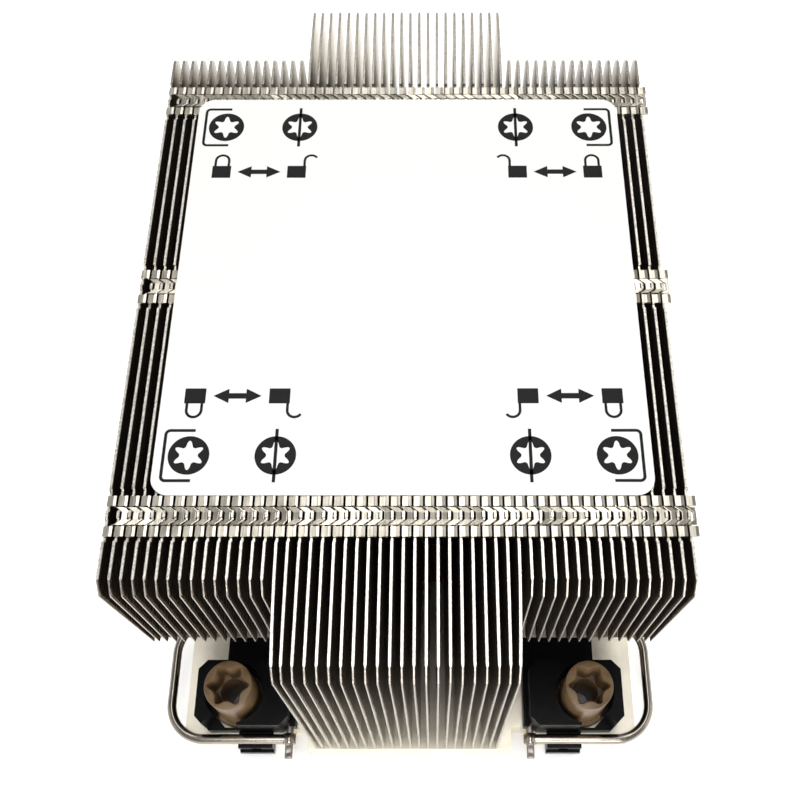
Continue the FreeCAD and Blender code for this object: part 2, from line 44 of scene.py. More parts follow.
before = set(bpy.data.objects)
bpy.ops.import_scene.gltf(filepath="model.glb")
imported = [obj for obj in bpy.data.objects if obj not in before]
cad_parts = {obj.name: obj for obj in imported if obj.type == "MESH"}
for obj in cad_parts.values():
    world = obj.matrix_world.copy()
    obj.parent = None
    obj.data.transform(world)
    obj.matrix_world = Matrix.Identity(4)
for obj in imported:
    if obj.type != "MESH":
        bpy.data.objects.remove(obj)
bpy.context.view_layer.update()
MM = 0.001
# each corner and the end of the object it is at: -1 near, 1 far
CORNERS = {"front_left": -1, "front_right": -1, "back_left": 1, "back_right": 1}
SKY_STRENGTH = 0.32
# name, place, width and depth in metres, and watts
LAMPS = (("overhead", (0, 0.16, 0.64), (0.24, 0.68), 1.75),
         ("left", (-0.5, -0.15, 0.35), (0.3, 0.3), 0.15),
         ("right", (0.5, -0.1, 0.35), (0.3, 0.3), 0.25),
         ("front", (0.05, -0.6, 0.3), (0.3, 0.2), 1.6),
         ("behind_camera", (0, -0.3, 0.55), (0.25, 0.15), 0.9))


def box_mm(node):
    """Lowest and highest corner of a CAD node, in millimetres."""
    low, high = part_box(node)
    return np.array(low) / MM, np.array(high) / MM


def linear(hex_colour):
    """An sRGB hex colour such as #c87a50 as linear red, green and blue."""
    raw = np.array([int(hex_colour[i:i + 2], 16) for i in (1, 3, 5)]) / 255
    return tuple(float(v) for v in np.where(raw <= 0.04045, raw / 12.92, ((raw + 0.055) / 1.055) ** 2.4))


# ---------------------------------------------------------------- sizes and colours a user would change


def length(name, description, default):
    """A length property in metres, given here in millimetres."""
    return bpy.props.FloatProperty(
        name=name, description=description, default=default * MM, unit="LENGTH", precision=5
    )


def colour(name, description, default):
    """A colour property, given here as sRGB hex."""
    return bpy.props.FloatVectorProperty(
        name=name, description=description, default=linear(default), size=3, min=0, max=1, subtype="COLOR"
    )


class HeatsinkFins(bpy.types.PropertyGroup):
    """Sizes of the fin sheets and of the flanges that zip them together."""

    pitch: length("Pitch", "Distance from one fin to the next", 1.5)
    sheet: length("Sheet", "Thickness of the fin strip", 0.4)
    zip_length: length("Zip length", "Length of a folded flange along the fin", 5.6)
    zip_spacing: length("Zip spacing", "Distance between the rows of flanges", 35.4)
    foot: length("Foot", "Length of the two feet of a flange", 1.4)
    tab: length("Tab", "Length of the tab that a flange hooks round", 0.94)
    short_reach: length("Short reach", "Half length of the short fins where they stand on the base", 32.1)
    short_height: length("Short height", "Height of the short fins' lower edge beyond the base", 37.8)
    bow: length("Bow", "How far the outermost long fins lean in at their free ends", 0.55)
    pinch: length("Pinch", "How far the outermost short fin's lower corner is pressed in", 1.4)


class HeatsinkHardware(bpy.types.PropertyGroup):
    """Sizes of the nuts, bails and label."""

    socket_points: length("Socket points", "Distance across the points of the six-lobed socket", 6.4)
    socket_waist: length("Socket waist", "Distance across the inner lobes of the socket", 4.7)
    socket_depth: length("Socket depth", "Depth of the driver socket", 6)
    nut_body: length("Nut body", "Diameter of the nut above and below its flange", 7.9)
    nut_bore: length("Nut bore", "Diameter of the nut's threaded bore", 4)
    flange_low: length("Flange low", "Height of the underside of the nut's flange", 4.1)
    flange_high: length("Flange high", "Height of the top of the nut's flange", 6)
    wire: length("Wire", "Diameter of the bail wire", 1.6)
    eye_length: length("Eye length", "Length of the bail's eye along the pin", 1.8)
    bend: length("Bend", "Radius of the wire's centre line at the bail's corners", 6)
    nose: length("Nose", "Length of the pin's flattened nose", 3)
    label_round: length("Label round", "Radius of the label's corners", 2.5)
    ink: length("Ink", "Height of the printed shapes above the label film", 0.02)


class HeatsinkColours(bpy.types.PropertyGroup):
    """Colours of the finishes."""

    # darker than bare aluminium: painted shade for the gaps between the fins
    aluminium: colour("Aluminium", "Rolled strip of the fins", "#c8beaf")
    edge: colour("Sheared edge", "Upper edge of the fin strip", "#f4efe4")
    flange: colour("Flange", "Pressed flanges that zip the fins together", "#e6dfcf")
    # darker than the sheared upper edge: painted shade on the fins' cut ends
    end_edge: colour("End edge", "Upright cut edge at a fin's ends", "#aea89f")
    plating: colour("Plating", "Nickel on the base plate", "#f6eedd")
    copper: colour("Copper", "Heat pipes and contact block", "#b4694c")
    plastic: colour("Black plastic", "Nut housings", "#040405")
    nut: colour("Nut plastic", "Captive nuts", "#80674a")
    wire: colour("Wire", "Spring wire bails", "#aea69b")
    pin: colour("Pin", "Hinge pins", "#b3aaa4")
    film: colour("Film", "Label film", "#f7f6f3")
    ink: colour("Ink", "Printed shapes", "#161616")


class HeatsinkStage(bpy.types.PropertyGroup):
    """Camera and background."""

    lens: bpy.props.FloatProperty(
        name="Lens", description="Focal length of the camera", default=47.7, unit="CAMERA"
    )
    place: bpy.props.FloatVectorProperty(
        name="Place", description="Place of the camera", default=(0.00417, -0.08254, 0.19618), subtype="XYZ",
        unit="LENGTH", size=3, precision=5
    )
    tilt: bpy.props.FloatProperty(
        name="Tilt", description="Angle of the camera's line of sight from straight down",
        default=math.radians(27.754), unit="ROTATION"
    )
    floor: colour("Floor", "Plain floor under the object", "#f4f4f4")


def sizes(group):
    """One of the property groups, with its lengths in millimetres."""
    settings = getattr(bpy.context.scene, group)
    return {name: getattr(settings, name) / MM for name in settings.__annotations__}


# ---------------------------------------------------------------- surfaces


def grid_faces(rows, columns, closed_rows=False):
    """Quads of a grid numbered row by row whose columns run round a closed section.

    A grid with closed rows is a ring; otherwise its two ends stay open for end_faces.
    """
    joins = rows if closed_rows else rows - 1
    row, column = np.meshgrid(np.arange(joins), np.arange(columns), indexing="ij")
    next_row, next_column = (row + 1) % rows, (column + 1) % columns
    corners = [row * columns + column, row * columns + next_column,
               next_row * columns + next_column, next_row * columns + column]
    return np.stack(corners, axis=-1).reshape(-1, 4)


def end_faces(rows, columns):
    """Quads that close the two ends of an open tube by joining each side of its section to the other."""
    step = np.arange(columns // 2 - 1)
    near = np.stack([step, columns - 1 - step, columns - 2 - step, step + 1], axis=-1)
    far = near[:, ::-1] + (rows - 1) * columns
    return np.concatenate([near, far])


def outward(points, faces):
    """The faces turned so that the signed volume they enclose is positive."""
    a, b, c, d = (points - points.mean(axis=0))[faces.T]
    volume = np.sum(np.cross(a, b) * c) + np.sum(np.cross(a, c) * d)
    return faces if volume > 0 else faces[:, ::-1]


def tube(points, closed=False):
    """Points (rows, columns, 3) and quads of a section carried along a path, closed at both ends."""
    rows, columns = points.shape[:2]
    faces = grid_faces(rows, columns, closed)
    if not closed:
        faces = np.concatenate([faces, end_faces(rows, columns)])
    points = points.reshape(-1, 3)
    return points, outward(points, faces)


def joined(parts):
    """Several (points, faces, kind) shapes as one, with each face's kind kept."""
    points, faces, kinds, first = [], [], [], 0
    for part_points, part_faces, kind in parts:
        points.append(part_points)
        faces.append(part_faces + first)
        kinds.append(np.broadcast_to(kind, len(part_faces)))
        first += len(part_points)
    return np.concatenate(points), np.concatenate(faces), np.concatenate(kinds)


def make_piece(name, shape, finishes, body, replaces=(), smooth=None):
    """Puts points in millimetres and quads into a mesh, and gives the piece its body and finish.

    Edges sharper than the angle smooth, in degrees, stay sharp; without it the piece is flat shaded.
    """
    points, faces, kinds = shape
    mesh = bpy.data.meshes.new(name)
    mesh.from_pydata((points * MM).tolist(), [], faces.tolist())
    for material in finishes:
        mesh.materials.append(material)
    mesh.polygons.foreach_set("material_index", np.asarray(kinds, dtype=np.int32))
    if smooth is not None:
        mesh.shade_smooth()
        mesh.set_sharp_from_angle(angle=math.radians(smooth))
    mesh.update()
    if mesh.validate():
        raise RuntimeError(name + " has faces that do not close")
    piece = bpy.data.objects.new(name, mesh)
    bpy.context.scene.collection.objects.link(piece)
    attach(piece, body)
    if replaces:
        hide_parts(*replaces)


def slab(left, right, low, high, mid=(0.12, 0.88), heights=(-0.05, 0, 0, -0.05), closed=False):
    """A thin plate between two edge lines.

    One parameter runs along the lines and the other round the section: bottom left, bottom right, then
    four points over the top at the heights given, the two inner ones at the shares mid of the width.
    """
    left, right = np.asarray(left, float), np.asarray(right, float)
    mid = np.broadcast_to(mid, (len(left), 2))
    heights = np.broadcast_to(heights, (len(left), 4))
    across = right - left
    flat = [left, right, right, left + across * mid[:, 1:], left + across * mid[:, :1], left]
    up = [np.full(len(left), low), np.full(len(left), low)] + [high + heights[:, i] for i in (3, 2, 1, 0)]
    points = [np.column_stack([place, level]) for place, level in zip(flat, up)]
    return tube(np.stack(points, axis=1), closed)


def stroke(path, width):
    """Edge lines of a pen stroke: the path moved half the width to each side, mitred where it turns."""
    path = np.asarray(path, float)
    runs = np.diff(path, axis=0)
    runs /= np.linalg.norm(runs, axis=1)[:, None]
    before, after = np.vstack([runs[:1], runs]), np.vstack([runs, runs[-1:]])
    across = before + after
    across = np.column_stack([-across[:, 1], across[:, 0]])
    across /= np.sum(across * np.column_stack([-before[:, 1], before[:, 0]]), axis=1)[:, None]
    return path - across * width / 2, path + across * width / 2


# ---------------------------------------------------------------- materials


def add_node(tree, kind, inputs=None, **settings):
    """Adds one node: settings are its own properties, and each input is a value or another node's socket."""
    node = tree.nodes.new("ShaderNode" + kind)
    for name, value in settings.items():
        setattr(node, name, value)
    for name, value in (inputs or {}).items():
        if isinstance(value, bpy.types.NodeSocket):
            tree.links.new(value, node.inputs[name])
        else:
            node.inputs[name].default_value = value
    return node


def finish(name, shader):
    """A material with a Principled shader at the values given, and its tree, shader and coordinates."""
    material = bpy.data.materials.new(name)
    material.use_nodes = True
    tree = material.node_tree
    principled = tree.nodes["Principled BSDF"]
    for socket, value in shader.items():
        principled.inputs[socket].default_value = value
    place = add_node(tree, "TexCoord").outputs["Object"]
    return material, tree, principled, place


def shaded(tree, factor, dark, light):
    """A colour between two, by a factor."""
    mix = add_node(tree, "Mix", {"Factor": factor}, data_type="RGBA")
    mix.inputs["A"].default_value = (*dark, 1)
    mix.inputs["B"].default_value = (*light, 1)
    return mix.outputs["Result"]


def tint(colour_value, share):
    """A colour made darker or lighter by a share."""
    return tuple(min(1.0, channel * share) for channel in colour_value)


def mottled(tree, shader, noise, low, high, dark, light):
    """Runs the base colour from dark to light while the noise goes from low to high."""
    factor = add_node(tree, "MapRange", {"Value": noise, "From Min": low, "From Max": high})
    tree.links.new(shaded(tree, factor.outputs[0], dark, light), shader.inputs["Base Color"])


def uneven_shine(tree, shader, noise, low, high):
    """Runs the roughness from low to high with the noise."""
    rough = add_node(tree, "MapRange", {"Value": noise, "To Min": low, "To Max": high})
    tree.links.new(rough.outputs[0], shader.inputs["Roughness"])


def fine_relief(tree, shader, noise, strength, depth_mm):
    """Raises the surface's grain by the noise, as a bump too shallow to model."""
    bump = add_node(tree, "Bump", {"Height": noise, "Strength": strength, "Distance": depth_mm * MM})
    tree.links.new(bump.outputs[0], shader.inputs["Normal"])


def rolled_aluminium(name, base, roughness, blotch):
    """Cold-rolled aluminium strip: fine lines along the fin and a faint blotch from the rolls.

    Here and below, blotch is the brightness of the second tone as a share of the base colour.
    """
    material, tree, shader, place = finish(name, {"Metallic": 1.0, "Roughness": roughness})
    # rolling lines 0.25 mm apart and drawn out 8 mm along the strip
    lines = add_node(tree, "Mapping", {"Vector": place, "Scale": (4000, 125, 4000)})
    grain = add_node(tree, "TexNoise", {"Vector": lines.outputs[0], "Scale": 1, "Detail": 3}).outputs["Fac"]
    # cloudy patches about 4 mm across
    cloud = add_node(tree, "TexNoise", {"Vector": place, "Scale": 250, "Detail": 2}).outputs["Fac"]
    both = add_node(tree, "Math", {0: grain, 1: cloud}, operation="MULTIPLY").outputs[0]
    mottled(tree, shader, both, 0.12, 0.4, tint(base, blotch), base)
    uneven_shine(tree, shader, grain, roughness - 0.06, roughness + 0.08)
    fine_relief(tree, shader, grain, 0.15, 0.03)
    return material


def aluminium_with_painted_shade(name, base, lit_colour, shaded_glance, lit_span):
    """Rolled strip with painted shade: a low specular tint and a darkened base colour keep a sheet dark
    between the fins, where shade falls.

    Seen edge-on, the strip reflects only the given share of what reaches it at a glancing angle. Towards
    the free ends, over the given distances along the fin, the tint rises to full and the base colour runs
    to the given lighter colour: painted light.
    They are measured from a slanting line, so the near ends are painted light only low down, the far ends
    only high up.
    """
    material = rolled_aluminium(name, base, roughness=0.28, blotch=0.8)
    tree = material.node_tree
    shader = tree.nodes["Principled BSDF"]
    place = add_node(tree, "TexCoord").outputs["Object"]
    # the line leans to the near end by 0.35 of its rise, and crosses the middle of the fin 38 mm up
    lean, level = 0.35, 38
    slant = add_node(tree, "VectorMath", {0: place, 1: (0, 1, lean)}, operation="DOT_PRODUCT")
    along = add_node(tree, "Math", {0: slant.outputs["Value"], 1: lean * level * MM}, operation="SUBTRACT")
    along = add_node(tree, "Math", {0: along.outputs[0]}, operation="ABSOLUTE").outputs[0]
    share = add_node(tree, "MapRange", {"Value": along, "From Min": lit_span[0] * MM,
                                        "From Max": lit_span[1] * MM}).outputs[0]
    # a low specular tint in the middle is painted shade between the fins; full tint at the free ends is
    # painted light
    shaded_tint, lit_tint = (shaded_glance, shaded_glance, shaded_glance), (1, 1, 1)
    tree.links.new(shaded(tree, share, shaded_tint, lit_tint), shader.inputs["Specular Tint"])
    # the base colour runs lighter towards the free ends: painted light
    mix = add_node(tree, "Mix", {"Factor": share}, data_type="RGBA")
    tree.links.new(shader.inputs["Base Color"].links[0].from_socket, mix.inputs["A"])
    mix.inputs["B"].default_value = (*lit_colour, 1)
    tree.links.new(mix.outputs["Result"], shader.inputs["Base Color"])
    return material


def sheared_edge(name, base):
    """Sheared aluminium edge: bright, broken by burrs where the punch tore the strip."""
    material, tree, shader, place = finish(name, {"Metallic": 1.0, "Roughness": 0.3})
    # torn spots 0.35 mm apart along the edge
    burrs = add_node(tree, "TexNoise", {"Vector": place, "Scale": 2800, "Detail": 2, "Roughness": 0.6})
    mottled(tree, shader, burrs.outputs["Fac"], 0.35, 0.55, tint(base, 0.62), base)
    fine_relief(tree, shader, burrs.outputs["Fac"], 0.4, 0.05)
    return material


def plated_metal(name, base, roughness, grain_mm, blotch, relief=0.2):
    """Nickel plate or drawn metal: a soft cloudy sheen with a fine grain in the shine."""
    material, tree, shader, place = finish(name, {"Metallic": 1.0, "Roughness": roughness})
    grain = add_node(tree, "TexNoise", {"Vector": place, "Scale": 1 / (grain_mm * MM), "Detail": 3})
    # clouds 5.5 mm across
    cloud = add_node(tree, "TexNoise", {"Vector": place, "Scale": 180, "Detail": 2})
    mottled(tree, shader, cloud.outputs["Fac"], 0.35, 0.62, tint(base, blotch), base)
    uneven_shine(tree, shader, grain.outputs["Fac"], roughness - 0.07, roughness + 0.1)
    fine_relief(tree, shader, grain.outputs["Fac"], relief, 0.03)
    return material


def moulded_plastic(name, base, roughness, grain_mm, blotch, gloss):
    """Moulded plastic: an even colour with a spark-eroded grain and slightly paler or darker patches."""
    material, tree, shader, place = finish(name, {"Metallic": 0.0, "Roughness": roughness, "IOR": 1.55,
                                                 "Specular IOR Level": gloss})
    grain = add_node(tree, "TexNoise", {"Vector": place, "Scale": 1 / (grain_mm * MM), "Detail": 2})
    # worn patches 2.5 mm across
    cloud = add_node(tree, "TexNoise", {"Vector": place, "Scale": 400, "Detail": 3})
    mottled(tree, shader, cloud.outputs["Fac"], 0.35, 0.65, tint(base, blotch), base)
    uneven_shine(tree, shader, cloud.outputs["Fac"], roughness - 0.08, roughness + 0.1)
    fine_relief(tree, shader, grain.outputs["Fac"], 0.25, 0.04)
    return material


def printed_film(name, base, roughness, gloss):
    """Matt polyester film or ink: nearly even, with the faint mottle of a printed face."""
    material, tree, shader, place = finish(name, {"Metallic": 0.0, "Roughness": roughness, "IOR": 1.6,
                                                 "Specular IOR Level": gloss})
    # spots 1.1 mm apart
    spots = add_node(tree, "TexNoise", {"Vector": place, "Scale": 900, "Detail": 3}).outputs["Fac"]
    tree.links.new(shaded(tree, spots, tint(base, 0.97), base), shader.inputs["Base Color"])
    fine_relief(tree, shader, spots, 0.08, 0.02)
    return material


MADE = {}


def materials():
    """Every finish of the object, made once."""
    if not MADE:
        tone = bpy.context.scene.heatsink_colours
        MADE.update(
            # the fin sheets carry painted shade between the fins and painted light at their free ends
            sheet=aluminium_with_painted_shade("rolled_aluminium_strip", tone.aluminium, lit_colour=tone.edge, shaded_glance=0.14,
                                  lit_span=(47.6, 56)),
            flange=rolled_aluminium("pressed_aluminium_flange", tone.flange, roughness=0.32, blotch=0.5),
            edge=sheared_edge("sheared_aluminium_edge", tone.edge),
            # the cut ends' edges: the same sheared edge, darkened as painted shade
            end_edge=sheared_edge("blanked_aluminium_edge_painted_shade", tone.end_edge),
            plate=plated_metal("nickel_plated_aluminium", tone.plating, roughness=0.36, grain_mm=0.3,
                               blotch=0.86),
            copper=plated_metal("drawn_copper", tone.copper, roughness=0.5, grain_mm=0.25, blotch=0.7),
            plastic=moulded_plastic("moulded_black_polyamide", tone.plastic, roughness=0.3, grain_mm=0.2,
                                    blotch=1.8, gloss=0.1),
            nut=moulded_plastic("moulded_tan_peek", tone.nut, roughness=0.32, grain_mm=0.25, blotch=0.7,
                                gloss=0.35),
            wire=plated_metal("drawn_spring_steel_wire", tone.wire, roughness=0.16, grain_mm=0.4, blotch=0.8,
                              relief=0.1),
            pin=plated_metal("zinc_plated_steel_pin", tone.pin, roughness=0.4, grain_mm=0.25, blotch=0.6),
            film=printed_film("matt_polyester_film", tone.film, roughness=0.5, gloss=0.5),
            ink=printed_film("flexographic_ink", tone.ink, roughness=0.55, gloss=0.15),
        )
    return MADE


# ---------------------------------------------------------------- shapes


def free_share(y, reach, fins):
    """How far a place along a fin is towards its free end: 0 at the last flange, 1 at the end, squared."""
    last = fins["zip_spacing"] + fins["zip_length"] / 2
    return np.clip((np.abs(y) - last) / (reach - last), 0, 1) ** 2


def fin_sheet(left_x, reach, low, high, fins, step, lean, pinch):
    """One fin's flat sheet, as rows of closed sections stacked from its lower edge to its upper one.

    Along a row the place runs from the far end to the near end on one face and back on the other. The
    rim is thinner by a small chamfer, and the ends taper to the sheared edge. The sheet leans sideways
    by lean times the free share, and by pinch at its lower near corner. Its upper edge drops under the
    chevrons on both sides of each tab, and again in a relief notch beyond each flange. A short fin's
    step is its half length on the base and the height where it widens. The upper edge of the far free
    end takes the darker finish of the upright ends, which is painted shade.
    end is as dull as the upright ends.
    """
    clip, rim, taper, end_thinning, underside = 1.7, 0.06, 0.35, 0.26, 0.1
    notch_length, notch_depth, chevron_gap, crease = 0.9, 0.6, 0.05, 0.02
    sheet, spacing, half, tab = fins["sheet"], fins["zip_spacing"], fins["zip_length"] / 2, fins["tab"] / 2
    rows_of_flanges = np.array([-spacing, 0, spacing])
    marks = [centre + side * edge + hair for centre in rows_of_flanges for side in (-1, 1)
             for edge in (tab, half, half + notch_length) for hair in (-crease, crease)]
    free_end = np.linspace(spacing + half + 1.5, reach - clip, 5)
    along = np.concatenate([marks, free_end, -free_end, [reach - clip + taper, clip - reach - taper]])
    along = np.unique(np.round(along, 4))
    from_zip = np.min(np.abs(along[:, None] - rows_of_flanges), axis=1)
    drop = np.where((from_zip >= tab) & (from_zip < half), sheet + chevron_gap, 0)
    drop = np.where((from_zip > half) & (from_zip < half + notch_length), notch_depth, drop)
    # each row's height and half length, and 1 where the chamfer thins it
    levels = [(high - clip, reach, 0), (high - rim, reach - clip + rim, 0), (high, reach - clip, 1)]
    if step:
        levels = [(low, step[0], 1), (low + rim, step[0], 0), (step[1] - underside, step[0], 0),
                  (step[1], reach, 0)] + levels
    else:
        levels = [(low, reach, 1), (low + rim, reach, 0)] + levels
    share = along / along.max()
    rows = []
    for level, half_length, thinned in levels:
        y = share * half_length
        z = level - drop * (level >= high - rim)
        thin = np.full(len(y), rim * thinned)
        thin[[0, -1]] = end_thinning * sheet
        pressed = pinch * min((high - level) / (high - fins["short_height"]), 1)
        x = left_x + free_share(y, reach, fins) * np.where(y < 0, lean[0] + pressed, lean[1])
        front, back = np.column_stack([x + thin, y, z]), np.column_stack([x + sheet - thin, y, z])
        rows.append(np.concatenate([back, front[::-1]]))
    points, faces = tube(np.stack(rows))
    count, columns = len(along), 2 * len(along)
    number = np.arange((len(rows) - 1) * columns)
    # 0 is a flat face, 1 a bright upper or lower edge and 2 an edge darkened as painted shade
    kinds = np.ones(len(faces), int)
    kinds[:len(number)] = number // columns == len(rows) - 2
    kinds[:len(number)][number % columns % count == count - 1] = 2
    middle = points[faces].mean(axis=1)
    # the far free end's upper edge takes the darker edge finish: painted shade
    kinds[(kinds == 1) & (middle[:, 1] > spacing + half) & (middle[:, 2] > high - clip)] = 2
    return points, faces, kinds


def foot_plate(left_x, y, fins, top, slope):
    """One foot of a zip flange: sloped next to its own fin, then bent up to a bright ridge."""
    width, sheet = fins["pitch"] - 0.3, fins["sheet"]
    # shares of the width where the slope ends and the ridge begins, and how far the slope is sunk
    slope_end, ridge, sunk, pivot = 0.64, 0.7, 0.1, 0.8
    across = np.array([0, slope_end]) * width
    heights = np.concatenate([slope * (across - pivot) - sunk, [-0.01, -0.07]])
    ends = np.array([y - fins["foot"] / 2, y + fins["foot"] / 2])
    left = np.column_stack([np.full(2, left_x), ends])
    right = np.column_stack([np.full(2, left_x + width), ends])
    return slab(left, right, top - sheet, top, (slope_end, ridge), heights)


def chevron_plate(left_x, centre_y, fins, top, slope, limit):
    """The hook of a zip flange: a chevron from one foot to the other, round the tab of the next fin but one.

    Its edge lines are functions of the distance along the fin: a slant from the foot to the tip, then
    straight beside the tab. No tip goes beyond the limit, where the last fin's flange is cut square.
    """
    pitch, sheet, gap = fins["pitch"], fins["sheet"], 0.28
    inner, tab = fins["zip_length"] / 2 - fins["foot"], fins["tab"] / 2
    # the neck joins the feet, and the hook lies beyond the next fin
    neck, hook = 0.68 * pitch, 1.27 * pitch
    foot_edge, tip = pitch - 0.3, 2 * pitch - 0.08
    along = np.array([inner + 0.04, inner - 0.16, inner - 0.2, tab + 0.04, tab])
    low = np.array([neck, neck, neck + gap, hook + gap, hook + gap])
    high = np.array([foot_edge, foot_edge, neck + pitch, hook + pitch, tip])
    along = np.concatenate([-along, along[::-1]]) + centre_y
    low, high = np.concatenate([low, low[::-1]]), np.concatenate([high, high[::-1]])
    high = np.minimum(high, limit - left_x)
    # the rounded edges take up a tenth of the width on each side
    shares, sunk, rounding = np.array([0, 0.1, 0.9, 1]), 0.04, 0.03
    heights = slope * (shares - 0.5) * pitch - sunk - rounding * np.array([1, 0, 0, 1])
    left, right = np.column_stack([left_x + low, along]), np.column_stack([left_x + high, along])
    return slab(left, right, top - sheet, top, shares[1:3], heights)


def fin_group(name, node, short, shape_of, chance):
    """The sheets of one group of fins and the flanges that zip them, as two pieces for one CAD node.

    shape_of gives a fin's lean and pinch. The chevrons tilt in slow waves along the row, each a little
    off its neighbours, as a press leaves them, so that the lamps catch them in groups.
    """
    fins = sizes("heatsink_fins")
    low, high = box_mm(node)
    pitch, sheet, spacing = fins["pitch"], fins["sheet"], fins["zip_spacing"]
    from_middle = (fins["zip_length"] - fins["foot"]) / 2
    count = round((high[0] - low[0]) / pitch)
    reach = high[1]
    step = (fins["short_reach"], fins["short_height"]) if short else None
    outermost, square_end = node == "right_fins", 0.4
    limit = high[0] - square_end if outermost else high[0] + pitch
    wave_start, wave_length, wave_tilt = 18, 6.5, 0.12
    # the strip folded under an overhanging end: where it starts and stops before the end, and its gap
    strip_start, strip_stop, strip_gap = 4.2, 0.6, 0.1
    sheets, flanges = [], []
    for fin in range(count):
        left_x = low[0] + fin * pitch
        lean, pinch = shape_of(fin, count, fins)
        sheets.append(fin_sheet(left_x, reach, low[2], high[2], fins, step, lean, pinch))
        for row in (-spacing, 0, spacing):
            for side in (-1, 1):
                slope = chance.uniform(0.02, 0.09)
                foot = foot_plate(left_x, row + side * from_middle, fins, high[2], slope)
                flanges.append((*foot, 0))
            if not outermost or fin < count - 1:
                wave = math.sin((left_x + wave_start) / wave_length + row)
                tilt = wave_tilt * wave + chance.normal(0, 0.04)
                flanges.append((*chevron_plate(left_x, row, fins, high[2], tilt, limit), 0))
        if short:
            # the strip is narrower where the fin is pressed in
            for side in (-1, 1):
                ends = np.array([side * (reach - strip_start), side * (reach - strip_stop)])
                shift = free_share(ends, reach, fins) * (pinch if side < 0 else 0)
                left = np.column_stack([left_x + shift, ends])
                right = left + np.column_stack([pitch - strip_gap - abs(shift) / 2, [0, 0]])
                flanges.append((*slab(left, right, step[1], step[1] + sheet), 1))
    finishes = materials()
    make_piece(name + "_sheets", joined(sheets), [finishes["sheet"], finishes["edge"], finishes["end_edge"]],
               "heatsink", [node])
    make_piece(name + "_zips", joined(flanges), [finishes["flange"], finishes["sheet"]], "heatsink",
               [node])


def revolved(profile, axis):
    """A closed ring surface: each profile point is a radius and a height, each a number or one per angle."""
    turns = len(profile[0][0])
    angle = np.arange(turns) * 2 * math.pi / turns
    rows = []
    for radius, height in profile:
        rows.append(np.column_stack([axis[0] + radius * np.cos(angle), axis[1] + radius * np.sin(angle),
                                     np.broadcast_to(height, turns)]))
    return tube(np.stack(rows), closed=True)


def six_lobes(points, waist, turns, start):
    """Radius of a six-lobed socket, at equal angles counted from start.

    The waist's radius plus a share of the rest that follows the sixth harmonic, its lobes narrowed by a
    power above 1.
    """
    angle = np.arange(turns) * 2 * math.pi / turns - start
    wave = 0.5 + 0.5 * np.cos(6 * angle)
    return waist / 2 + (points - waist) / 2 * wave ** 1.7


def corner_print():
    """Edge lines of the shapes printed in the label's far right corner, from the label's middle, in mm.

    A disc is a ring whose inner edge is the six-lobed star. Padlocks, brackets and lines are pen strokes,
    and an arrow is a line whose half width changes along it. A ring comes with True and the rest False.
    """
    star_row, lock_row, near_x, far_x = 28.3, 19.4, 17.2, 28.9
    line_pen, bracket_pen, lock_pen = 0.45, 0.42, 0.38
    # socket discs, the inner one crossed by a line
    disc, star_points, star_waist, cross = 2.8, 4.3, 2.5, 3.9
    angle = np.linspace(0, 2 * math.pi, 73)[:-1]
    circle = np.column_stack([np.cos(angle), np.sin(angle)])
    star = six_lobes(star_points, star_waist, 72, math.radians(90))[:, None] * circle
    shapes = []
    for x in (near_x, far_x):
        shapes.append((star + (x, star_row), disc * circle + (x, star_row), True))
    shapes.append((*stroke([(near_x, star_row - cross), (near_x, star_row + cross)], line_pen), False))
    # bracket round the outer disc: a line with two rounded corners
    bend = np.linspace(0, math.pi / 2, 6)
    edge, start, rise, round_off = far_x + 3.4, far_x - 0.6, 3.65, 0.6
    turn = round_off * np.column_stack([np.sin(bend), 1 - np.cos(bend)])
    lower = turn + (edge - round_off, -rise)
    bracket = np.concatenate([[(start, -rise)], lower, (lower * (1, -1))[::-1], [(start, rise)]])
    bracket += (0, star_row)
    shapes.append((*stroke(bracket, bracket_pen), False))
    # double arrow: half widths at the points, the barbs and the shaft
    middle = (near_x + far_x) / 2
    along = np.array([-3.3, -1.2, -1.19, 1.19, 1.2, 3.3])
    wide = np.array([0.02, 1.1, 0.42, 0.42, 1.1, 0.02])
    shapes.append((np.column_stack([middle + along, lock_row - wide]),
                   np.column_stack([middle + along, lock_row + wide]), False))
    # padlocks: a closed one outside, and an open one whose shackle stands beside its body
    body, body_half, shackle_half, leg, beside = 1.45, 1.15, 1.03, 1.1, 2.2
    for x in (near_x, far_x):
        sides = [np.array([(place, lock_row - body_half), (place, lock_row + body_half)])
                 for place in (x - body, x + body)]
        shapes.append((*sides, False))
    half_turn = np.linspace(0, math.pi, 17)
    shackle = np.column_stack([shackle_half * np.cos(half_turn), leg + shackle_half * np.sin(half_turn)])
    closed_lock = np.concatenate([[(shackle_half, 0)], shackle, [(-shackle_half, 0)]])
    open_lock = np.concatenate([[(shackle_half, 0)], shackle[:14]])
    shapes.append((*stroke(closed_lock + (far_x, lock_row + leg), lock_pen), False))
    shapes.append((*stroke(open_lock + (near_x - beside, lock_row + leg), lock_pen), False))
    return shapes


def bail_path(low, high, hinge_x, bend, wire):
    """Centre line of a bail seen from above: arm, quarter bend, crossbar, quarter bend and arm."""
    side = 1 if high[0] > -low[0] else -1
    bar = (high[0] if side > 0 else low[0]) - side * wire / 2
    arms = (low[1] + wire / 2, high[1] - wire / 2)
    turn = np.linspace(0, math.pi / 2, 17)
    centre_x = bar - side * bend
    near = np.column_stack([centre_x + side * bend * np.sin(turn), arms[0] + bend - bend * np.cos(turn)])
    far = np.column_stack([centre_x + side * bend * np.cos(turn), arms[1] - bend + bend * np.sin(turn)])
    ends = np.linspace(hinge_x, centre_x, 5)[:-1]
    near_arm = np.column_stack([ends, np.full(4, arms[0])])
    far_arm = np.column_stack([ends[::-1], np.full(4, arms[1])])
    return np.concatenate([near_arm, near, far, far_arm])


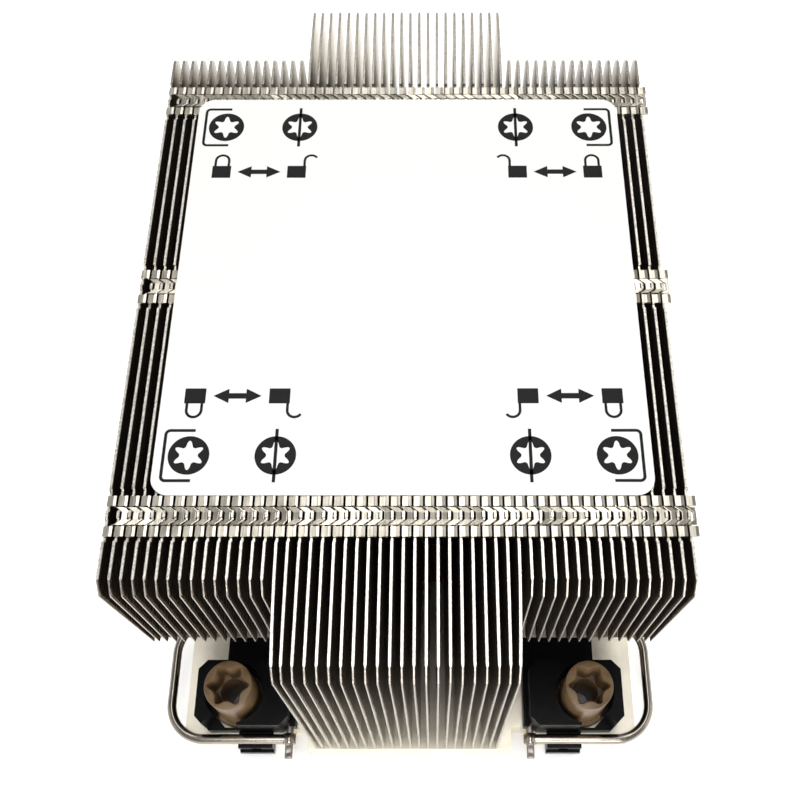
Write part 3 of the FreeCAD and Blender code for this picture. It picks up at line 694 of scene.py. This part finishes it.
def round_wire(path, level, radius, sides=20):
    """A round section carried along a level path: each ring stands across the path's own direction."""
    ahead = np.gradient(path, axis=0)
    ahead /= np.linalg.norm(ahead, axis=1)[:, None]
    across = np.column_stack([ahead[:, 1], -ahead[:, 0]])
    angle = (np.arange(sides) + 0.5) * 2 * math.pi / sides
    flat = path[:, None] + across[:, None] * (radius * np.cos(angle))[None, :, None]
    up = np.broadcast_to(level + radius * np.sin(angle), flat.shape[:2])
    return tube(np.concatenate([flat, up[..., None]], axis=-1))


def make_sweep(paper):
    """White paper under and round the object: a profile that runs out flat and then curves up, turned once.

    The paper glows a little outside the rectangle round the four nuts, so the ground reads white there
    and the object keeps its shadow.
    """
    flat_to, curve, turns, fade, glow_strength = 0.9, 0.6, 64, 0.008, 0.5
    swing = np.linspace(0, 1.2, 12)
    rim = np.concatenate([[0.001, 0.3, 0.6], flat_to + curve * np.sin(swing)])
    rise = np.concatenate([np.zeros(3), curve * (1 - np.cos(swing))])
    angle = np.arange(turns) * 2 * math.pi / turns
    points = np.stack([rim[:, None] * np.cos(angle), rim[:, None] * np.sin(angle),
                       np.broadcast_to(rise[:, None], (len(rim), turns))], axis=-1)
    mesh = bpy.data.meshes.new("floor")
    faces = grid_faces(len(rim), turns).tolist() + [list(range(turns))]
    mesh.from_pydata(points.reshape(-1, 3).tolist(), [], faces)
    mesh.shade_smooth()
    floor = bpy.data.objects.new("floor", mesh)
    bpy.context.scene.collection.objects.link(floor)
    material, tree, shader, place = finish("matt_white_paper", {"Base Color": (*paper, 1), "Roughness": 0.9})
    # the glow is seen directly and in shiny metal, and lights nothing matt
    path = add_node(tree, "LightPath").outputs
    seen = add_node(tree, "Math", {0: path["Is Camera Ray"], 1: path["Is Glossy Ray"]}, operation="MAXIMUM")
    seen = add_node(tree, "Math", {0: seen.outputs[0], 1: path["Is Transmission Ray"]}, operation="MAXIMUM")
    # how far a place is outside the rectangle
    half = box_mm("nut_back_right")[1][:2] * MM
    apart = add_node(tree, "VectorMath", {0: place}, operation="ABSOLUTE")
    apart = add_node(tree, "VectorMath", {0: apart.outputs[0], 1: (*half, 0)}, operation="SUBTRACT")
    apart = add_node(tree, "VectorMath", {0: apart.outputs[0], 1: (0, 0, 0)}, operation="MAXIMUM")
    away = add_node(tree, "VectorMath", {0: apart.outputs[0]}, operation="LENGTH")
    clear = add_node(tree, "MapRange", {"Value": away.outputs["Value"], "From Min": 0, "From Max": fade})
    glow = add_node(tree, "Math", {0: seen.outputs[0], 1: clear.outputs[0]}, operation="MULTIPLY")
    glow = add_node(tree, "Math", {0: glow.outputs[0], 1: glow_strength}, operation="MULTIPLY")
    shader.inputs["Emission Color"].default_value = (1, 1, 1, 1)
    tree.links.new(glow.outputs[0], shader.inputs["Emission Strength"])
    mesh.materials.append(material)


# ---------------------------------------------------------------- operators


class HEATSINK_OT_fins(bpy.types.Operator):
    """Makes the three groups of zipped fins"""

    bl_idname = "heatsink.fins"
    bl_label = "Fins"

    def execute(self, context):
        def outer_long(fin, count, fins):
            """The two outermost long fins of each side lean in, and less at the far end."""
            near = {0: 1, 1: 0.25, count - 2: -0.25, count - 1: -0.9}.get(fin, 0) * fins["bow"]
            return (near, 0.4 * near), 0

        def outer_short(side):
            """The four outermost short fins of a side are pressed in, each half as far as the one before."""
            def shape(fin, count, fins):
                from_edge = fin if side < 0 else count - 1 - fin
                return (0, 0), -side * fins["pinch"] * 0.5 ** from_edge if from_edge < 4 else 0
            return shape

        chance = np.random.default_rng(7)
        fin_group("left_fin", "left_fins", True, outer_short(-1), chance)
        fin_group("centre_fin", "centre_fins", False, outer_long, chance)
        fin_group("right_fin", "right_fins", True, outer_short(1), chance)
        return {"FINISHED"}


class HEATSINK_OT_nuts(bpy.types.Operator):
    """Makes the captive nuts with their six-lobed sockets"""

    bl_idname = "heatsink.nuts"
    bl_label = "Nuts"

    def execute(self, context):
        size = sizes("heatsink_hardware")
        turns, rounding, chamfer, lead_in = 96, 0.25, 0.15, 0.5
        one = np.ones(turns)
        for corner in CORNERS:
            node = "nut_" + corner
            low, high = box_mm(node)
            axis = (low + high)[:2] / 2
            flange = (high[0] - low[0]) / 2
            foot, top = low[2], high[2]
            body, bore = size["nut_body"] / 2, size["nut_bore"] / 2
            under, over = size["flange_low"], size["flange_high"]
            star = six_lobes(size["socket_points"], size["socket_waist"], turns, 0)
            floor = top - size["socket_depth"]
            # up the bore and the socket, over the top and down the outside
            profile = [
                (bore * one, foot), (bore * one, floor - 0.4), (1.1 * bore * one, floor),
                (0.96 * star, floor), (star, floor + 0.3), (star, top - 0.8), (star + 0.22, top - 0.12),
                (star + 0.34, top), ((body - 0.22) * one, top), ((body - 0.06) * one, top - 0.07),
                (body * one, top - rounding), (body * one, over + rounding), ((body + 0.2) * one, over),
                ((flange - chamfer) * one, over), (flange * one, over - chamfer),
                (flange * one, under + chamfer), ((flange - chamfer) * one, under), (body * one, under),
                (body * one, foot + lead_in), ((body - lead_in) * one, foot),
            ]
            points, faces = revolved(profile, axis)
            make_piece(node + "_turned", (points, faces, np.zeros(len(faces), int)), [materials()["nut"]],
                       "nut_body_" + corner, [node], smooth=32)
        return {"FINISHED"}


class HEATSINK_OT_bails(bpy.types.Operator):
    """Makes the round wire bails with their eyes round the hinge pins"""

    bl_idname = "heatsink.bails"
    bl_label = "Wire bails"

    def execute(self, context):
        size = sizes("heatsink_hardware")
        wire, clearance, eye_wall, rounding = size["wire"], 0.05, 0.32, 0.12
        for corner in CORNERS:
            node = "wire_bail_" + corner
            low, high = box_mm(node)
            pin_low, pin_high = box_mm("hinge_pin_" + corner)
            hinge = (pin_low + pin_high) / 2
            path = bail_path(low, high, hinge[0], size["bend"], wire)
            hole, rim = pin_high[0] - hinge[0] + clearance, wire / 2 + eye_wall
            # the eye's section: a radius and a share of half its length
            section = ((hole, -0.92), (hole, 0.92), (rim - rounding, 0.96), (rim, 0.7), (rim, -0.7),
                       (rim - rounding, -0.96))
            ring = [(radius * np.ones(28), share * size["eye_length"] / 2) for radius, share in section]
            shapes = [(*round_wire(path, hinge[2], wire / 2), 0)]
            for arm in (path[0], path[-1]):
                points, faces = revolved(ring, (0, 0))
                points = points[:, [0, 2, 1]] + (hinge[0], arm[1], hinge[2])
                shapes.append((points, outward(points, faces), 0))
            make_piece(node + "_bent", joined(shapes), [materials()["wire"]], "bail_body_" + corner,
                       [node], smooth=50)
        return {"FINISHED"}


class HEATSINK_OT_pins(bpy.types.Operator):
    """Makes the hinge pins, each with a nose flattened by the punch that staked it"""

    bl_idname = "heatsink.pins"
    bl_label = "Hinge pins"

    def execute(self, context):
        nose = sizes("heatsink_hardware")["nose"]
        sides, chamfer, blend, flattened = 24, 0.12, 0.12, 0.62
        # the punch marks: places along the nose, depth, and how far they spread, squared
        dents, dent_depth, dent_spread = (0.9, 2.2), 0.2, 0.1
        for corner, end in CORNERS.items():
            node = "hinge_pin_" + corner
            low, high = box_mm(node)
            centre = (low + high) / 2
            radius = (high[0] - low[0]) / 2
            half = (high[1] - low[1]) / 2
            along = np.linspace(0.3, nose, 20)
            along = np.concatenate([[0, chamfer], along, [nose + 0.7, 2 * half - chamfer, 2 * half]])
            from_end = np.clip(np.minimum(along, 2 * half - along) / chamfer, 0, 1)[:, None]
            full = radius * (0.8 + 0.2 * from_end)
            flat = 1 / (1 + np.exp((along - nose) / blend))[:, None]
            angle = (np.arange(sides) + 0.5) * 2 * math.pi / sides
            side, up = np.cos(angle), np.sin(angle)
            squared = np.abs(np.stack([side, up])) ** 0.5 * np.sign(np.stack([side, up]))
            across = full * (side + flat * (squared[0] - side))
            pressed = sum(np.exp(-((along[:, None] - dent) ** 2 + across ** 2) / dent_spread)
                          for dent in dents)
            height = full * (up + flat * (flattened * squared[1] - up))
            height = height - dent_depth * pressed * (height > 0)
            y = np.broadcast_to(centre[1] + end * (half - along[:, None]), across.shape)
            points, faces = tube(np.stack([centre[0] + across, y, centre[2] + height], axis=-1))
            make_piece(node + "_staked", (points, faces, np.zeros(len(faces), int)), [materials()["pin"]],
                       "heatsink", [node], smooth=50)
        return {"FINISHED"}


class HEATSINK_OT_label(bpy.types.Operator):
    """Makes the label film and its printed shapes: socket discs, brackets, arrows and padlocks"""

    bl_idname = "heatsink.label"
    bl_label = "Label"

    def execute(self, context):
        size = sizes("heatsink_hardware")
        ink, corner = size["ink"], size["label_round"]
        low, high = box_mm("top_label")
        centre = (low + high)[:2] / 2
        half = (high - low)[:2] / 2
        turn = np.linspace(0, math.pi / 2, 9)
        out, along = corner * (1 - np.sin(turn)), corner * (1 - np.cos(turn))
        x = half[0] - np.concatenate([out, out[::-1]])
        y = np.concatenate([along - half[1], half[1] - along[::-1]])
        shapes = [(*slab(np.column_stack([-x, y]) + centre, np.column_stack([x, y]) + centre,
                         low[2], high[2] - ink, heights=0), 0)]
        for sx in (-1, 1):
            for sy in (-1, 1):
                for left, right, closed in corner_print():
                    place = [centre + line * (sx, sy) for line in (left, right)]
                    # the ink reaches into the film by half its height
                    shapes.append((*slab(*place, high[2] - 1.5 * ink, high[2], heights=0, closed=closed), 1))
        make_piece("label_printed", joined(shapes), [materials()["film"], materials()["ink"]], "heatsink",
                   ["top_label"])
        return {"FINISHED"}


class HEATSINK_OT_finishes(bpy.types.Operator):
    """Gives each shown CAD node its finish"""

    bl_idname = "heatsink.finishes"
    bl_label = "Finishes"

    def execute(self, context):
        kinds = {"base_plate": "plate", "contact_block": "copper", "heat_pipe": "copper",
                 "left_fins": "sheet", "centre_fins": "sheet", "right_fins": "sheet", "housing": "plastic",
                 "nut": "nut", "hinge_pin": "pin", "wire_bail": "wire", "top_label": "film"}
        for node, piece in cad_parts.items():
            finish_name = next((kinds[start] for start in kinds if node.startswith(start)), None)
            if finish_name is None:
                raise RuntimeError("no finish for " + node)
            for slot in piece.material_slots:
                slot.material = materials()[finish_name]
        return {"FINISHED"}


class HEATSINK_OT_stage(bpy.types.Operator):
    """Makes the floor, the lamps and the camera"""

    bl_idname = "heatsink.stage"
    bl_label = "Stage"

    def execute(self, context):
        stage = context.scene.heatsink_stage
        scene = context.scene
        scene.view_settings.view_transform = "Standard"

        lens = bpy.data.cameras.new("camera")
        lens.lens = stage.lens
        lens.sensor_width = 36
        lens.shift_x, lens.shift_y = -0.041, -0.0447
        lens.clip_start = 0.005
        camera = bpy.data.objects.new("camera", lens)
        # the small turns round the upright and round the line of sight that a camera in the hand has
        heading, roll = math.radians(0.129), math.radians(-0.145)
        turn = (Matrix.Rotation(heading, 4, "Z") @ Matrix.Rotation(stage.tilt, 4, "X")
                @ Matrix.Rotation(roll, 4, "Z"))
        camera.matrix_world = Matrix.Translation(stage.place) @ turn
        scene.collection.objects.link(camera)
        scene.camera = camera

        make_sweep(stage.floor)
        world = bpy.data.worlds.new("studio")
        scene.world = world
        world.use_nodes = True
        sky = world.node_tree.nodes["Background"]
        sky.inputs["Color"].default_value = (1, 1, 1, 1)
        sky.inputs["Strength"].default_value = SKY_STRENGTH
        for name, place, extent, watts in LAMPS:
            lamp = bpy.data.lights.new(name, "AREA")
            lamp.shape = "RECTANGLE"
            lamp.size, lamp.size_y = extent
            lamp.energy = watts
            item = bpy.data.objects.new(name, lamp)
            item.location = place
            item.rotation_euler = (-Vector(place)).to_track_quat("-Z", "Y").to_euler()
            scene.collection.objects.link(item)
        return {"FINISHED"}


class HEATSINK_PT_panel(bpy.types.Panel):
    """Lists the steps and settings in the sidebar"""

    bl_idname = "HEATSINK_PT_panel"
    bl_label = "Heatsink"
    bl_space_type = "VIEW_3D"
    bl_region_type = "UI"
    bl_category = "Heatsink"

    def draw(self, context):
        for step in STEPS:
            self.layout.operator(step.bl_idname)
        for group in GROUPS:
            settings = getattr(context.scene, group)
            for name in settings.__annotations__:
                self.layout.prop(settings, name)


STEPS = (HEATSINK_OT_stage, HEATSINK_OT_finishes, HEATSINK_OT_fins, HEATSINK_OT_nuts, HEATSINK_OT_bails,
         HEATSINK_OT_pins, HEATSINK_OT_label)
GROUPS = {"heatsink_fins": HeatsinkFins, "heatsink_hardware": HeatsinkHardware,
          "heatsink_colours": HeatsinkColours, "heatsink_stage": HeatsinkStage}


def register():
    """Registers the settings, steps and panel."""
    for group, kind in GROUPS.items():
        bpy.utils.register_class(kind)
        setattr(bpy.types.Scene, group, bpy.props.PointerProperty(type=kind))
    for step in STEPS:
        bpy.utils.register_class(step)
    bpy.utils.register_class(HEATSINK_PT_panel)


def unregister():
    """Takes the settings, steps and panel away again."""
    bpy.utils.unregister_class(HEATSINK_PT_panel)
    for step in reversed(STEPS):
        bpy.utils.unregister_class(step)
    for group, kind in reversed(GROUPS.items()):
        delattr(bpy.types.Scene, group)
        bpy.utils.unregister_class(kind)


def main():
    """Runs every step in order."""
    register()
    for step in STEPS:
        area, name = step.bl_idname.split(".")
        getattr(getattr(bpy.ops, area), name)()


if __name__ == "__main__":
    main()
